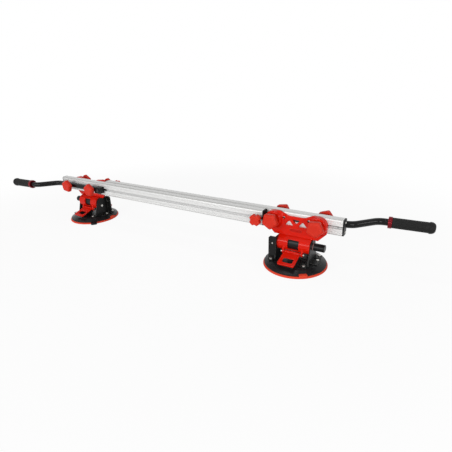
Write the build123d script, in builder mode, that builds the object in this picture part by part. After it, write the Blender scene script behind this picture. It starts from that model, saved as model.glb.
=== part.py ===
from build123d import *

import os
from math import cos, radians, sin, tan

# Large tile carrying frame: two bars that slide side by side, each with a bent handle, a red carriage
# clamped on by hand knobs, and a hand pumped suction cup under the carriage.
# The two halves are the same set of pieces. Every piece is modelled for the right half, and its twin
# for the left half is turned half a turn about Z. The origin is on the floor under the middle of the
# frame, X runs along the bars, Y points to the back and Z points up. Sizes are in millimetres.

os.makedirs("parts", exist_ok=True)

# Clearances
face_gap = 0.2          # between flat faces that turn or slide on each other
seat_gap = 0.05         # between pieces that are seated in each other and do not move
running_gap = 0.06      # radial, pins and studs in their bores
slide_gap = 0.4         # nut in a slot that it slides along
stud_clearance = 0.3    # radial, studs in the holes that they pass through

# Heights
pad_thickness = 6.0
cup_plate_height = 12.0
pump_rise = 52.0        # pump axis above the cup plate
bar_rise = 74.0         # middle of the bars above the pump axis

# Bars
bar_height = 50.0
bar_depth = 28.0
bar_corner = 6.0
bar_wall = 3.0
bar_spacing = 0.6       # gap between the two bars
bar_inner_end = 371.0   # end of the bar on the far side of the middle
bar_overhang = 71.0     # handle end of the bar, beyond the last clamp stud
slot_lip = 3.0
slot_cavity_height = 16.0
slot_cavity_depth = 5.5
chamber_round = 2.0
line_groove_offset = 14.0   # fine grooves above and below the slot
line_groove_width = 1.4
line_groove_depth = 0.7
cap_thickness = 4.0
cap_chamfer = 1.0
cap_plug = 12.0

# Handle
tube_diameter = 21.0
tube_wall = 2.5
tube_overhang = 18.0    # end of the tube, beyond the first clamp stud
bend_clearance = 11.0   # corner of the first bend, beyond the end of the bar
bend_angle = 48.0
bend_offset = 68.0      # how far the grip stands out from the straight tube
bend_radius = 44.0
grip_splay = 4.0        # degrees outward
grip_start = 26.0       # ring of the grip along the last straight run, from the second corner
grip_ring_diameter = 35.0
grip_ring_length = 11.0
grip_ring_round = 1.5
grip_length = 109.0
grip_diameter = 31.0
grip_end_diameter = 34.0
grip_end_length = 14.0
grip_end_wall = 4.0
grip_end_round = 9.0
grip_flutes = 18
grip_flute_radius = 1.2

# Block that holds the inner end of the tube
block_length = 35.0
block_height = 25.0
block_depth = 22.0
block_corner = 3.0
block_chamfer = 1.5
block_spigot_clearance = 3.0    # between the block's plug in the tube and the clamp stud
block_screw_inset = 13.0
block_head_diameter = 13.0
block_head_height = 4.0
block_key_radius = 3.2
block_key_depth = 2.0

# Clamp studs
bolt_half = 70.0        # the studs stand this far to each side of the unit's middle
stud_diameter = 8.0
washer_diameter = 22.0
washer_thickness = 2.0

# Carriage
carriage_gap = 1.0      # between the carriage and the end of the other bar
carriage_thickness = 5.5
carriage_edge = 2.0
lobe_radius = 26.0
boss_depth = 20.0
boss_wall = 5.0
boss_round = 4.5
boss_flare = 9.0        # hollow rounding between a boss and the plate
crest_reach = 18.0      # flat top of a lobe, from the stud towards the middle
crest_round = 14.0
dip_half = 26.0
dip_rise = 13.0         # top edge between the lobes, above the middle of the bar
dip_round = 16.0
shoulder_reach = 24.0   # outer lower corner, beyond the stud
shoulder_drop = 26.0    # and below the middle of the bar
skirt_overlap = 4.0     # lower edge of the plate, below the top of the saddle
truss_width = 28.5      # outer windows of the truss
truss_height = 17.5
truss_half = 21.5       # from the middle of the carriage
truss_drop = 17.3       # their lower edge, below the middle of the bar
truss_middle_width = 27.0   # middle window, which points down
truss_middle_height = 14.5
truss_middle_rise = 4.0     # its upper edge, above the middle of the bar
truss_round = 2.0
round_hole_out = 39.0
round_hole_rise = 6.0
round_hole_diameter = 9.0
name_pad_width = 38.0
name_pad_height = 9.0
name_pad_drop = 30.5
name_pad_round = 2.0
name_pad_relief = 0.8
saddle_end_gap = 0.3    # between the saddle and the brackets
saddle_outer_radius = 27.0
saddle_wall = 5.0
saddle_mouth = 90.0     # degrees, open at the bottom
window_width = 36.0
window_rise = 17.0      # above the pump axis
window_drop = 14.0      # and below it
window_round = 2.0

# Hand knobs
knob_radius = 27.0      # to the corners
knob_sides = 5
knob_corner = 6.0
knob_head = 17.0
knob_chamfer = 4.5
knob_hub_diameter = 26.0
inner_hub = 10.0
outer_hub = 2.5
knob_skin = 4.0         # plastic left over the end of the stud
knob_turns = {          # degrees, how each knob happens to be turned
    "right": {"inner_near": -86.0, "inner_far": -83.0, "outer_near": 64.0, "outer_far": 73.0},
    "left": {"inner_near": 90.0, "inner_far": 84.0, "outer_near": 90.0, "outer_far": 98.0},
}

# Slide lock
lock_inset = 17.0       # from the inner end of the bar
lock_knob_radius = 18.5
lock_lobes = 4
lock_notch_radius = 7.0
lock_notch_out = 3.0    # centre of the notches, beyond the rim
lock_notch_round = 3.5
lock_head = 16.0
lock_chamfer = 1.3
lock_collar_diameter = 18.0
lock_collar_length = 14.0
slot_nut_length = 20.0

# Pump
barrel_gap = 0.4        # between the barrel and the saddle
barrel_half = 52.0
barrel_wall = 5.6
barrel_end_wall = 8.0
plunger_diameter = 23.4
plunger_reach = 40.0    # end of the plunger, beyond the barrel
plunger_round = 2.0
piston_thickness = 10.0
piston_inset = 6.0      # outer face of the piston, from the end of the barrel
seal_width = 3.0
seal_depth = 2.4
spring_gap = 3.0        # between the spring and the barrel
spring_wire = 2.0

# Brackets that carry the pump on the cup
bracket_thickness = 3.5
bracket_half_depth = 30.0
bracket_foot_half = 38.0    # half width of the web at its foot, where its edges slope
bracket_arch_gap = 1.0  # between the top of the bracket and the lower edge of the carriage
flange_reach = 25.0     # front flange of the near bracket, away from the pump
flange_corner = 5.0
flange_rivet_out = 11.5
rivet_diameter = 3.0
rivet_head_diameter = 4.8
rivet_head_height = 1.5
foot_thickness = 3.0
foot_width = 18.0
foot_reach = 21.0
foot_round = 3.0
foot_screw_inset = 6.5
foot_screw_long = 11.0  # foot screw that points away from the pump, from the web
foot_screw_short = 8.0  # and the one that points back along it
side_foot_half = 18.0
side_foot_reach = 25.0
side_screw_out = 16.5
side_screw_y = 10.5
end_screw_drop = 12.0
end_screw_depth = 6.0

# Fasteners
screw_diameter = 5.0
screw_head_diameter = 10.0
screw_head_height = 3.0
screw_head_round = 1.0
screw_length = 10.0

# Suction cup
pad_radius = 100.0
pad_lip = 14.0
pad_hollow = 3.0
pad_edge = 3.0
cup_y = 1.5             # the cup and the pump stand this far off the frame's middle plane
cup_plate_inset = 3.5
cup_plate_edge = 3.0
cup_plate_slope = 21.0
tab_width = 25.0
tab_depth = 13.0
tab_height = 8.0
tab_corner = 3.0
tab_round = 2.0
tongue_width = 24.0
tongue_reach = 17.0     # beyond the pad
tongue_thickness = 4.0
tongue_corner = 6.0
tongue_lip_gap = 1.0    # between the rim of the pad and the lip that hangs in front of it
tongue_lip_foot = 1.0   # underside of that lip above the ground
tab_angles = {"right": -54.0, "left": 10.0}
tongue_angles = {"right": 128.0, "left": -42.0}

# Latch levers
pin_out = 24.0          # latch pin from the pump axis, outward
pin_drop = 24.0         # and downward
pin_diameter = 6.0
pin_tail = 5.0          # pin beyond its ears
ear_gap = 2.0           # between the lever and the ears
ear_thickness = 5.5
ear_radius = 6.5
lever_slope = 18.0
lever_length = 60.0
lever_half_root = 25.5
lever_half_tip = 26.5
lever_floor = 3.0
lever_rim = 3.0
lever_rim_height = 5.0
lever_barrel_radius = 5.2
lever_hole_width = 33.0
lever_hole_length = 20.0
lever_hole_inset = 22.0     # middle of the finger hole, from the tip
lever_hole_round = 3.0

# Worked out from the sizes above
foot_z = pad_thickness + cup_plate_height
pump_z = foot_z + pump_rise
bar_mid_z = pump_z + bar_rise
unit_x = bar_inner_end + carriage_gap + lobe_radius + bolt_half
stud_xs = {"near": unit_x - bolt_half, "far": unit_x + bolt_half}
lock_x = bar_inner_end - lock_inset
bar_outer_end = unit_x + bolt_half + bar_overhang
bar_inner_y = bar_spacing / 2
bar_mid_y = bar_inner_y + bar_depth / 2
bar_outer_y = bar_inner_y + bar_depth
tube_start = stud_xs["near"] - tube_overhang
tube_y = bar_outer_y + face_gap + tube_diameter / 2
tube_outer_y = tube_y + tube_diameter / 2
boss_face_y = bar_inner_y - boss_depth
inner_head_y = boss_face_y - washer_thickness - face_gap - inner_hub
outer_head_y = tube_outer_y + washer_thickness + 2 * face_gap + outer_hub
stud_hole = stud_diameter + 2 * stud_clearance
screw_hole = screw_diameter + 2 * seat_gap
slot_nut_height = slot_cavity_height - 2 * slide_gap
saddle_half_width = barrel_half - saddle_end_gap
saddle_inner_radius = saddle_outer_radius - saddle_wall
skirt_rise = saddle_outer_radius - skirt_overlap
barrel_radius = saddle_inner_radius - barrel_gap
bore_radius = barrel_radius - barrel_wall
piston_rest = barrel_half - piston_inset
pin_z = pump_z - pin_drop
ear_inner = lever_half_root + ear_gap
pin_half = ear_inner + ear_thickness + pin_tail


def save(piece, name, sides=("right", "left")):
    """Write a piece of the right half, and its twin turned half a turn about Z."""
    for side in sides:
        twin = piece.rotate(Axis.Z, 180 if side == "left" else 0)
        twin.label = f"{name}_{side}"
        export_step(twin, f"parts/{twin.label}.step")


def along_y(x, z, y):
    """Plane at height y whose local Z runs to the front, so that sizes are laid out in X and Z."""
    return Plane(origin=(x, y, z), x_dir=(1, 0, 0), z_dir=(0, -1, 0))


def along_x(x, y, z):
    """Plane at x whose local Z runs along the bars, so that sizes are laid out in Y and Z."""
    return Plane(origin=(x, y, z), x_dir=(0, 1, 0), z_dir=(1, 0, 0))


# Bar: extrusion with a T slot in each face, two hollow chambers and fine grooves
chamber_low = slot_cavity_height / 2 + bar_wall
chamber_high = bar_height / 2 - bar_wall
chamber_depth = bar_depth - 2 * bar_wall
with BuildPart() as bar:
    with BuildSketch(along_x(cap_thickness - bar_inner_end, bar_mid_y, bar_mid_z)):
        RectangleRounded(bar_depth, bar_height, bar_corner)
        for face in (-1, 1):
            with Locations((face * (bar_depth - slot_lip) / 2, 0)):
                Rectangle(slot_lip, stud_hole, mode=Mode.SUBTRACT)
            with Locations((face * (bar_depth / 2 - slot_lip - slot_cavity_depth / 2), 0)):
                Rectangle(slot_cavity_depth, slot_cavity_height, mode=Mode.SUBTRACT)
            with Locations((face * bar_depth / 2, 0)):
                with GridLocations(0, 2 * line_groove_offset, 1, 2):
                    Rectangle(2 * line_groove_depth, line_groove_width, mode=Mode.SUBTRACT)
        with GridLocations(0, chamber_low + chamber_high, 1, 2):
            RectangleRounded(chamber_depth, chamber_high - chamber_low, chamber_round, mode=Mode.SUBTRACT)
    extrude(amount=bar_inner_end + bar_outer_end - 2 * cap_thickness)
    for x in (*stud_xs.values(), -lock_x):
        with BuildSketch(along_y(x, bar_mid_z, bar_outer_y)):
            Circle(stud_hole / 2)
        extrude(amount=bar_depth, mode=Mode.SUBTRACT)
save(bar.part, "bar")


def end_cap(face_x, inward):
    """Moulded cover of a bar end, with two plugs in the chambers: inward is the way into the bar along X."""
    with BuildPart() as cap:
        with BuildSketch(along_x(face_x, bar_mid_y, bar_mid_z)):
            RectangleRounded(bar_depth, bar_height, bar_corner)
        extrude(amount=inward * cap_thickness)
        chamfer(cap.faces().sort_by(Axis.X)[-1 if inward < 0 else 0].edges(), cap_chamfer)
        with BuildSketch(along_x(face_x + inward * cap_thickness, bar_mid_y, bar_mid_z)):
            with GridLocations(0, chamber_low + chamber_high, 1, 2):
                RectangleRounded(chamber_depth, chamber_high - chamber_low, chamber_round)
            offset(amount=-seat_gap)
        extrude(amount=inward * cap_plug)
    return cap.part


save(end_cap(bar_outer_end, -1), "bar_end_cap")
save(end_cap(-bar_inner_end, 1), "bar_inner_cap")

# Handle tube: straight run along the bar, then an S bend out to the grip
grip_way = Vector(cos(radians(grip_splay)), sin(radians(grip_splay)), 0)
corner_1 = Vector(bar_outer_end + bend_clearance, tube_y, bar_mid_z)
corner_2 = corner_1 + Vector(bend_offset / tan(radians(bend_angle)), bend_offset, 0)
ring_base = corner_2 + grip_way * grip_start
grip_base = ring_base + grip_way * grip_ring_length
tube_end = grip_base + grip_way * (grip_length - grip_end_wall - seat_gap)
with BuildPart() as tube:
    with BuildLine():
        FilletPolyline((tube_start, tube_y, bar_mid_z), corner_1, corner_2, tube_end, radius=bend_radius)
    with BuildSketch(along_x(tube_start, tube_y, bar_mid_z)):
        Circle(tube_diameter / 2)
        Circle(tube_diameter / 2 - tube_wall, mode=Mode.SUBTRACT)
    sweep()
    for x in stud_xs.values():
        with BuildSketch(along_y(x, bar_mid_z, tube_outer_y + tube_wall)):
            Circle(stud_hole / 2)
        extrude(amount=tube_diameter + 2 * tube_wall, mode=Mode.SUBTRACT)
save(tube.part, "handle_tube")

# Red ring that clamps the grip on the tube
ring_plane = Plane(origin=ring_base, x_dir=(0, 0, 1), z_dir=grip_way)
with BuildPart() as grip_ring:
    with BuildSketch(ring_plane):
        Circle(grip_ring_diameter / 2)
    extrude(amount=grip_ring_length)
    fillet(grip_ring.edges(), grip_ring_round)
    with BuildSketch(ring_plane):
        Circle(tube_diameter / 2 + seat_gap)
    extrude(amount=grip_ring_length, mode=Mode.SUBTRACT)
save(grip_ring.part, "grip_ring")

# Grip: fluted rubber sleeve with a thicker closed end
grip_plane = Plane(origin=grip_base, x_dir=(0, 0, 1), z_dir=grip_way)
with BuildPart() as grip:
    with BuildSketch(grip_plane):
        Circle(grip_diameter / 2)
        with PolarLocations(grip_diameter / 2, grip_flutes):
            Circle(grip_flute_radius, mode=Mode.SUBTRACT)
    extrude(amount=grip_length - grip_end_length)
    with BuildSketch(grip_plane.offset(grip_length - grip_end_length)):
        Circle(grip_end_diameter / 2)
    extrude(amount=grip_end_length)
    fillet(grip.faces().sort_by(Axis(grip_base, grip_way))[-1].edges(), grip_end_round)
    with BuildSketch(grip_plane):
        Circle(tube_diameter / 2 + seat_gap)
    extrude(amount=grip_length - grip_end_wall, mode=Mode.SUBTRACT)
save(grip.part, "handle_grip")

# Block screwed to the outer face of the bar, with a plug in the end of the tube
block_start = tube_start - seat_gap - block_length
block_screw_x = block_start + block_screw_inset
block_face_y = bar_outer_y + block_depth
with BuildPart() as block:
    with BuildSketch(along_y(block_start + block_length / 2, bar_mid_z, block_face_y)):
        RectangleRounded(block_length, block_height, block_corner)
    extrude(amount=block_depth)
    chamfer(block.faces().sort_by(Axis.Y)[-1].edges(), block_chamfer)
    with BuildSketch(along_x(block_start + block_length, tube_y, bar_mid_z)):
        Circle(tube_diameter / 2 - tube_wall - seat_gap)
    extrude(amount=tube_overhang - stud_diameter / 2 - block_spigot_clearance)
    with BuildSketch(along_y(block_screw_x, bar_mid_z, block_face_y)):
        Circle(stud_hole / 2)
    extrude(amount=block_depth, mode=Mode.SUBTRACT)
save(block.part, "tube_end_block")

# Screw of the block, with its nut in the outer slot of the bar
block_head_y = block_face_y + block_head_height
with BuildPart() as block_screw:
    with BuildSketch(along_y(block_screw_x, bar_mid_z, block_head_y)):
        Circle(block_head_diameter / 2)
    extrude(amount=block_head_height)
    with BuildSketch(along_y(block_screw_x, bar_mid_z, block_head_y)):
        RegularPolygon(block_key_radius, 6)
    extrude(amount=block_key_depth, mode=Mode.SUBTRACT)
    with BuildSketch(along_y(block_screw_x, bar_mid_z, block_face_y)):
        Circle(stud_diameter / 2)
    extrude(amount=block_depth + slot_lip)
    with BuildSketch(along_y(block_screw_x, bar_mid_z, bar_outer_y - slot_lip)):
        Rectangle(slot_nut_length, slot_nut_height)
    extrude(amount=slot_cavity_depth - slide_gap)
save(block_screw.part, "tube_block_screw")

# Carriage: plate with two lobes on the inner face of the bar, and the saddle round the pump
truss_windows = [(-truss_half, -truss_drop, truss_width, truss_height),
                 (0, truss_middle_rise, truss_middle_width, -truss_middle_height),
                 (truss_half, -truss_drop, truss_width, truss_height)]
lip_angle = radians(saddle_mouth / 2)
lip_radius = saddle_outer_radius - saddle_wall / 2
with BuildPart() as carriage:
    with BuildSketch(along_y(unit_x, bar_mid_z, bar_inner_y)) as outline:
        crest = bolt_half - crest_reach
        right_edge = [(bolt_half, skirt_rise - bar_rise), (bolt_half + shoulder_reach, -shoulder_drop),
                      (bolt_half + lobe_radius, 0), (bolt_half, lobe_radius), (crest, lobe_radius),
                      (dip_half, dip_rise)]
        left_edge = [(-x, z) for x, z in reversed(right_edge)]
        Polygon(*right_edge, *left_edge, align=None)
        with GridLocations(2 * bolt_half, 0, 2, 1):
            Circle(lobe_radius)
        fillet([v for v in outline.vertices() if abs(abs(v.X) - crest) < seat_gap], crest_round)
        fillet([v for v in outline.vertices() if abs(abs(v.X) - dip_half) < seat_gap], dip_round)
    extrude(amount=carriage_thickness)
    fillet(carriage.faces().sort_by(Axis.Y)[0].edges(), carriage_edge)
    with BuildPart(mode=Mode.PRIVATE) as bosses:
        for x in stud_xs.values():
            with BuildSketch(Plane(origin=(x, bar_inner_y, bar_mid_z), x_dir=(1, 0, 0), z_dir=(0, 0, 1))) as boss:
                flare_y = -carriage_thickness - boss_flare
                Polygon((0, 0), (lobe_radius, 0), (lobe_radius, -boss_depth), (0, -boss_depth), align=None)
                fillet(boss.vertices().group_by(Axis.X)[-1].sort_by(Axis.Y)[0], boss_round)
                with Locations((lobe_radius + boss_flare / 2, flare_y / 2)):
                    Rectangle(boss_flare, -flare_y)
                with Locations((lobe_radius + boss_flare, flare_y)):
                    Circle(boss_flare, mode=Mode.SUBTRACT)
            revolve(axis=Axis((x, 0, bar_mid_z), (0, 1, 0)))
        extrude(outline.sketch, amount=boss_depth, mode=Mode.INTERSECT)
    add(bosses.part)
    with BuildSketch(along_y(unit_x, bar_mid_z, bar_inner_y)):
        with Locations((round_hole_out, round_hole_rise), (-round_hole_out, round_hole_rise)):
            Circle(round_hole_diameter / 2)
    extrude(amount=boss_depth, mode=Mode.SUBTRACT)
    for x, z, width, height in truss_windows:
        with BuildSketch(along_y(unit_x + x, bar_mid_z + z, bar_inner_y)) as truss:
            Polygon((-width / 2, 0), (width / 2, 0), (0, height), align=None)
            fillet(truss.vertices(), truss_round)
        extrude(amount=boss_depth, mode=Mode.SUBTRACT)
    with BuildSketch(along_y(unit_x, bar_mid_z - name_pad_drop, bar_inner_y - carriage_thickness)):
        RectangleRounded(name_pad_width, name_pad_height, name_pad_round)
    extrude(amount=name_pad_relief)
    with BuildSketch(along_y(unit_x, bar_mid_z, bar_inner_y)):
        with GridLocations(2 * bolt_half, 0, 2, 1):
            Circle(lobe_radius - boss_wall)
    extrude(amount=boss_depth - boss_wall, mode=Mode.SUBTRACT)
    with BuildSketch(along_y(unit_x, bar_mid_z, bar_inner_y)):
        with GridLocations(2 * bolt_half, 0, 2, 1):
            Circle(stud_hole / 2)
    extrude(amount=boss_depth, mode=Mode.SUBTRACT)
    with BuildSketch(along_x(unit_x - saddle_half_width, cup_y, pump_z)):
        Circle(saddle_outer_radius)
        mouth_reach = 2 * saddle_outer_radius
        mouth_half = mouth_reach * tan(lip_angle)
        mouth = [(0, 0), (mouth_half, -mouth_reach), (-mouth_half, -mouth_reach)]
        Polygon(*mouth, align=None, mode=Mode.SUBTRACT)
    extrude(amount=2 * saddle_half_width)
    with BuildSketch(along_x(unit_x - saddle_half_width, cup_y, pump_z)):
        Circle(saddle_inner_radius)
    extrude(amount=2 * saddle_half_width, mode=Mode.SUBTRACT)
    window_mid_z = pump_z + (window_rise - window_drop) / 2
    with BuildSketch(along_y(unit_x, window_mid_z, cup_y + saddle_outer_radius)):
        RectangleRounded(window_width, window_rise + window_drop, window_round)
    extrude(amount=2 * saddle_outer_radius, mode=Mode.SUBTRACT)
    for ear_x in (ear_inner, -ear_inner - ear_thickness):
        for way in (-1, 1):
            with BuildSketch(along_x(unit_x + ear_x, cup_y, pump_z)):
                lip = (way * lip_radius * sin(lip_angle), -lip_radius * cos(lip_angle))
                pin_inner = (way * (pin_out - ear_radius), -pin_drop)
                pin_outer = (way * (pin_out + ear_radius), -pin_drop)
                Polygon(lip, pin_inner, pin_outer, (way * lip_radius, 0), align=None)
                with Locations((way * pin_out, -pin_drop)):
                    Circle(ear_radius)
                    Circle(pin_diameter / 2 + seat_gap, mode=Mode.SUBTRACT)
                Circle(saddle_inner_radius, mode=Mode.SUBTRACT)
            extrude(amount=ear_thickness)
save(carriage.part, "carriage")

# Clamp studs: through the inner knob, the carriage, the bar, the tube and the outer knob
stud_front = inner_head_y - knob_head + knob_skin
stud_back = outer_head_y + knob_head - knob_skin
with BuildPart() as studs:
    with BuildSketch(along_y(unit_x, bar_mid_z, stud_back)):
        with GridLocations(2 * bolt_half, 0, 2, 1):
            Circle(stud_diameter / 2)
    extrude(amount=stud_back - stud_front)
save(studs.part, "clamp_studs")

# Washers under the knobs
with BuildPart() as washers:
    for washer_y in (boss_face_y, tube_outer_y + face_gap + washer_thickness):
        with BuildSketch(along_y(unit_x, bar_mid_z, washer_y)):
            with GridLocations(2 * bolt_half, 0, 2, 1):
                Circle(washer_diameter / 2)
                Circle(stud_diameter / 2 + seat_gap, mode=Mode.SUBTRACT)
        extrude(amount=washer_thickness)
save(washers.part, "clamp_washers")


def hand_knob(x, head_y, hub, way, turn):
    """Five sided hand knob on a stud: way is -1 for a knob that faces the front and 1 for the back."""
    with BuildPart() as knob:
        with BuildSketch(along_y(x, bar_mid_z, head_y)) as head:
            RegularPolygon(knob_radius, knob_sides, rotation=turn)
            fillet(head.vertices(), knob_corner)
        extrude(amount=-way * knob_head)
        front = knob.faces().sort_by(Axis.Y)[0 if way < 0 else -1]
        chamfer(front.edges(), knob_chamfer)
        with BuildSketch(along_y(x, bar_mid_z, head_y - way * hub)):
            Circle(knob_hub_diameter / 2)
        extrude(amount=-way * hub)
        with BuildSketch(along_y(x, bar_mid_z, head_y - way * hub)):
            Circle(stud_diameter / 2 + running_gap)
        extrude(amount=-way * (hub + knob_head - knob_skin + face_gap), mode=Mode.SUBTRACT)
    return knob.part


for knob_side, turns in knob_turns.items():
    for end, stud_x in stud_xs.items():
        inner_knob = hand_knob(stud_x, inner_head_y, inner_hub, -1, turns[f"inner_{end}"])
        outer_knob = hand_knob(stud_x, outer_head_y, outer_hub, 1, turns[f"outer_{end}"])
        save(inner_knob, f"inner_knob_{end}", (knob_side,))
        save(outer_knob, f"outer_knob_{end}", (knob_side,))

# Slide lock, on the outer face at the inner end of the bar: its nut grips the slot of the other bar.
# It belongs to the right bar, so it stands at the back on the left side of the middle.
lock_nut_y = -bar_inner_y - slot_lip - slide_gap
lock_head_y = bar_outer_y + lock_collar_length + face_gap
with BuildPart() as lock_stud:
    with BuildSketch(along_y(-lock_x, bar_mid_z, lock_head_y + lock_head - knob_skin)):
        Circle(stud_diameter / 2)
    extrude(amount=lock_head_y + lock_head - knob_skin - lock_nut_y)
    with BuildSketch(along_y(-lock_x, bar_mid_z, lock_nut_y)):
        Rectangle(slot_nut_length, slot_nut_height)
    extrude(amount=slot_cavity_depth - 2 * slide_gap)
save(lock_stud.part, "slide_lock_stud")

with BuildPart() as lock_collar:
    with BuildSketch(along_y(-lock_x, bar_mid_z, bar_outer_y + lock_collar_length)):
        Circle(lock_collar_diameter / 2)
        Circle(stud_diameter / 2 + seat_gap, mode=Mode.SUBTRACT)
    extrude(amount=lock_collar_length)
save(lock_collar.part, "slide_lock_collar")

with BuildPart() as lock_knob:
    with BuildSketch(along_y(-lock_x, bar_mid_z, lock_head_y)) as star:
        Circle(lock_knob_radius)
        with PolarLocations(lock_knob_radius + lock_notch_out, lock_lobes):
            Circle(lock_notch_radius, mode=Mode.SUBTRACT)
        fillet(star.vertices(), lock_notch_round)
    extrude(amount=-lock_head)
    chamfer(lock_knob.faces().sort_by(Axis.Y)[-1].edges(), lock_chamfer)
    with BuildSketch(along_y(-lock_x, bar_mid_z, lock_head_y)):
        Circle(stud_diameter / 2 + running_gap)
    extrude(amount=-(lock_head - knob_skin + face_gap), mode=Mode.SUBTRACT)
save(lock_knob.part, "slide_lock_knob")

# Pump barrel: closed at the near end, open at the far end for the plunger
with BuildPart() as barrel:
    with BuildSketch(along_x(unit_x - barrel_half, cup_y, pump_z)):
        Circle(barrel_radius)
    extrude(amount=2 * barrel_half)
    with BuildSketch(along_x(unit_x - barrel_half + barrel_end_wall, cup_y, pump_z)):
        Circle(bore_radius)
    extrude(amount=2 * barrel_half, mode=Mode.SUBTRACT)
    with BuildSketch(along_x(unit_x - barrel_half, cup_y, pump_z - end_screw_drop)):
        Circle(screw_hole / 2)
    extrude(amount=end_screw_depth + seat_gap, mode=Mode.SUBTRACT)
save(barrel.part, "pump_barrel")

# Plunger: push button, rod and piston in one turned piece
piston_radius = bore_radius - running_gap
groove_radius = piston_radius - seal_depth
seal_x = unit_x + piston_rest - piston_thickness / 2
with BuildPart() as plunger:
    with BuildSketch(along_x(unit_x + piston_rest, cup_y, pump_z)):
        Circle(plunger_diameter / 2)
    extrude(amount=piston_inset + plunger_reach)
    fillet(plunger.faces().sort_by(Axis.X)[-1].edges(), plunger_round)
    with BuildSketch(along_x(unit_x + piston_rest - piston_thickness, cup_y, pump_z)):
        Circle(piston_radius)
    extrude(amount=piston_thickness)
    with BuildSketch(along_x(seal_x - seal_width / 2, cup_y, pump_z)):
        Circle(bore_radius)
        Circle(groove_radius, mode=Mode.SUBTRACT)
    extrude(amount=seal_width, mode=Mode.SUBTRACT)
save(plunger.part, "pump_plunger")

with BuildPart() as seal:
    with BuildSketch(along_x(seal_x - seal_width / 2 + seat_gap, cup_y, pump_z)):
        Circle(bore_radius - running_gap / 2)
        Circle(groove_radius + seat_gap, mode=Mode.SUBTRACT)
    extrude(amount=seal_width - 2 * seat_gap)
save(seal.part, "piston_seal")

# Return spring, as the plain sleeve that its turns fill
spring_radius = bore_radius - spring_gap
with BuildPart() as spring:
    with BuildSketch(along_x(unit_x - barrel_half + barrel_end_wall, cup_y, pump_z)):
        Circle(spring_radius)
        Circle(spring_radius - spring_wire, mode=Mode.SUBTRACT)
    extrude(amount=barrel_half - barrel_end_wall + piston_rest - piston_thickness)
save(spring.part, "return_spring")


rivet_x = unit_x - barrel_half - flange_rivet_out


def foot_screw_points(way):
    """Where the screws of one bracket stand, from the middle of the cup."""
    front = bracket_half_depth + foot_reach - foot_screw_inset
    points = [(way * (barrel_half + side_screw_out), way * side_screw_y)]
    for side in (-1, 1):
        out = foot_screw_long if side == way else foot_screw_short
        points.append((way * barrel_half + side * out, side * front))
    return points


def pump_bracket(way):
    """Folded steel bracket at one end of the pump: way is -1 near the middle, with a flange, 1 on the far side."""
    arch_radius = skirt_rise - bracket_arch_gap
    web_x = way * barrel_half
    web_top = pump_rise + arch_radius
    with BuildPart() as bracket:
        with BuildSketch(along_x(unit_x + web_x, cup_y, foot_z)):
            Polygon((-bracket_foot_half, 0), (bracket_foot_half, 0), (arch_radius, pump_rise),
                    (-arch_radius, pump_rise), align=None)
            with Locations((0, pump_rise)):
                Circle(arch_radius)
            if way < 0:
                with Locations((-bracket_half_depth / 2, web_top / 2)):
                    Rectangle(bracket_half_depth, web_top)
        extrude(amount=way * bracket_thickness)
        if way < 0:
            flange_end = web_x - flange_reach
            flange_top = foot_z + web_top
            with BuildSketch(along_y(unit_x, 0, cup_y - bracket_half_depth)):
                Polygon((web_x, foot_z), (flange_end, foot_z), (flange_end, flange_top - flange_corner),
                        (flange_end + flange_corner, flange_top), (web_x, flange_top), align=None)
            extrude(amount=bracket_thickness)
        with BuildSketch(Plane.XY.offset(foot_z)):
            for side in (-1, 1):
                foot_x = foot_screw_points(way)[1 if side < 0 else 2][0]
                foot_y = cup_y + side * (bracket_half_depth + (foot_reach - bracket_thickness) / 2)
                with Locations((unit_x + foot_x, foot_y)):
                    RectangleRounded(foot_width, foot_reach + bracket_thickness, foot_round)
            with Locations((unit_x + web_x + way * side_foot_reach / 2, cup_y)):
                Rectangle(side_foot_reach, 2 * side_foot_half)
        extrude(amount=foot_thickness)
        with BuildSketch(Plane.XY.offset(foot_z)):
            with Locations(*[(unit_x + x, cup_y + y) for x, y in foot_screw_points(way)]):
                Circle(screw_hole / 2)
        extrude(amount=foot_thickness, mode=Mode.SUBTRACT)
        if way < 0:
            with BuildSketch(along_y(rivet_x, pump_z, cup_y - bracket_half_depth)):
                Circle(rivet_diameter / 2 + seat_gap)
            extrude(amount=bracket_thickness, mode=Mode.SUBTRACT)
        with BuildSketch(along_x(unit_x + web_x, cup_y, pump_z)):
            if way > 0:
                Circle(plunger_diameter / 2 + running_gap)
            else:
                with Locations((0, -end_screw_drop)):
                    Circle(screw_hole / 2)
        extrude(amount=way * bracket_thickness, mode=Mode.SUBTRACT)
    return bracket.part


save(pump_bracket(-1), "pump_bracket_near")
save(pump_bracket(1), "pump_bracket_far")

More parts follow.
